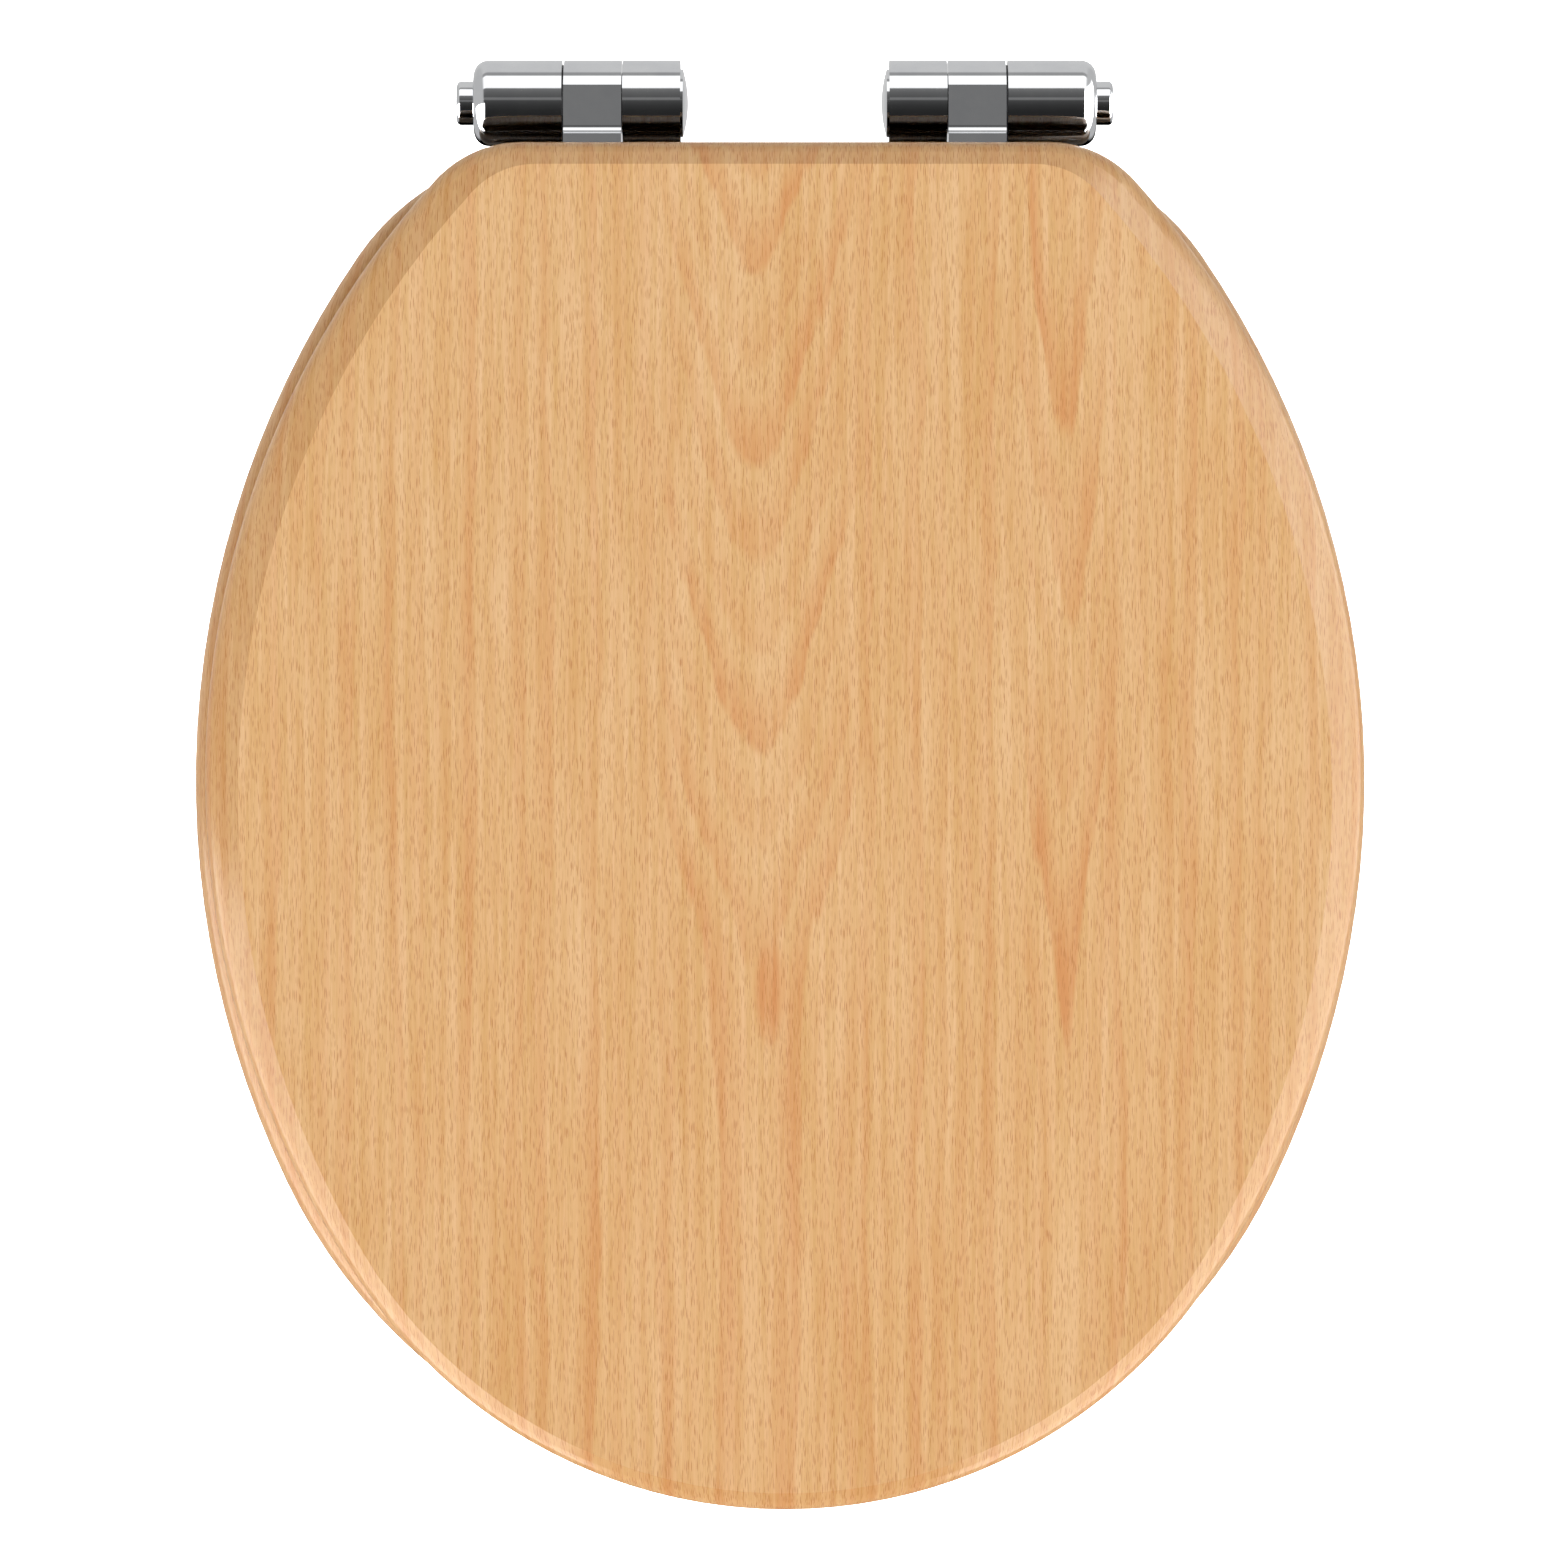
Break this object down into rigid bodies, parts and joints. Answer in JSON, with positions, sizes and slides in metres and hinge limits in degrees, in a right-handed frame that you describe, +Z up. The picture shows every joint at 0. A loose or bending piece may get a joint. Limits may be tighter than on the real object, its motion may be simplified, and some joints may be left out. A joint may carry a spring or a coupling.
{
  "type": "toilet seat",
  "caption": "Oval wooden toilet seat with a bevelled lid over a ring, on chrome barrel hinges with push-button quick release and soft-close dampers.",
  "frame": {"origin": "midway between the two fixing holes, on the top of the pan", "axes": "+X to the right seen from the front, +Y to the rear, +Z up"},
  "size_m": [0.375, 0.4624, 0.0945],
  "materials": {
    "lid_wood": "satin lacquered beech",
    "ring_wood": "satin lacquered beech",
    "chrome": "polished",
    "steel": "turned",
    "rubber": "matte",
    "buffer_rubber": "matte",
    "dark_nylon": "matte",
    "white_nylon": "matte"
  },
  "bodies": {
    "base": {"left_hinge_base": "chrome", "right_hinge_base": "chrome", "left_hinge_shaft": "steel", "right_hinge_shaft": "steel", "left_retaining_ring": "steel", "right_retaining_ring": "steel", "left_base_washer": "dark_nylon", "right_base_washer": "dark_nylon", "left_button_spring": "steel", "right_button_spring": "steel", "left_locking_post": "steel", "right_locking_post": "steel", "left_fixing_plate": "chrome", "right_fixing_plate": "chrome", "left_plate_gasket": "rubber", "right_plate_gasket": "rubber", "left_fixing_screw": "steel", "right_fixing_screw": "steel", "left_pan_washer": "rubber", "right_pan_washer": "rubber", "left_wing_nut": "white_nylon", "right_wing_nut": "white_nylon", "lid_damper_rotor": "dark_nylon", "seat_damper_rotor": "dark_nylon"},
    "seat": {"seat_ring": "ring_wood", "left_seat_arm": "chrome", "right_seat_arm": "chrome", "left_seat_arm_screws": "steel", "right_seat_arm_screws": "steel", "left_end_cap": "chrome", "right_end_cap": "chrome", "seat_bush": "white_nylon", "seat_damper_housing": "white_nylon", "seat_damper_cap": "white_nylon", "front_left_seat_buffer": "buffer_rubber", "front_right_seat_buffer": "buffer_rubber", "rear_left_seat_buffer": "buffer_rubber", "rear_right_seat_buffer": "buffer_rubber"},
    "lid": {"lid": "lid_wood", "left_lid_arm": "chrome", "right_lid_arm": "chrome", "left_lid_arm_screws": "steel", "right_lid_arm_screws": "steel", "left_lid_buffer": "buffer_rubber", "right_lid_buffer": "buffer_rubber", "lid_bush": "white_nylon", "lid_damper_housing": "white_nylon", "lid_damper_cap": "white_nylon"},
    "left_button": {"left_release_button": "chrome"},
    "right_button": {"right_release_button": "chrome"}
  },
  "joints": [
    {"name": "seat_hinge", "type": "hinge", "parent": "base", "child": "seat", "pos_m": [0, 0.0155, 0.0187], "axis": [-1, 0, 0], "range_deg": [0, 95]},
    {"name": "lid_hinge", "type": "hinge", "parent": "seat", "child": "lid", "pos_m": [0, 0.0155, 0.0187], "axis": [-1, 0, 0], "range_deg": [0, 95]},
    {"name": "left_button_press", "type": "slide", "parent": "base", "child": "left_button", "axis": [1, 0, 0], "range_m": [0, 0.0032], "stiffness_N_per_m": 1000, "springref_m": -0.003, "deforming": ["left_button_spring"]},
    {"name": "right_button_press", "type": "slide", "parent": "base", "child": "right_button", "axis": [-1, 0, 0], "range_m": [0, 0.0032], "stiffness_N_per_m": 1000, "springref_m": -0.003, "deforming": ["right_button_spring"]}
  ]
}
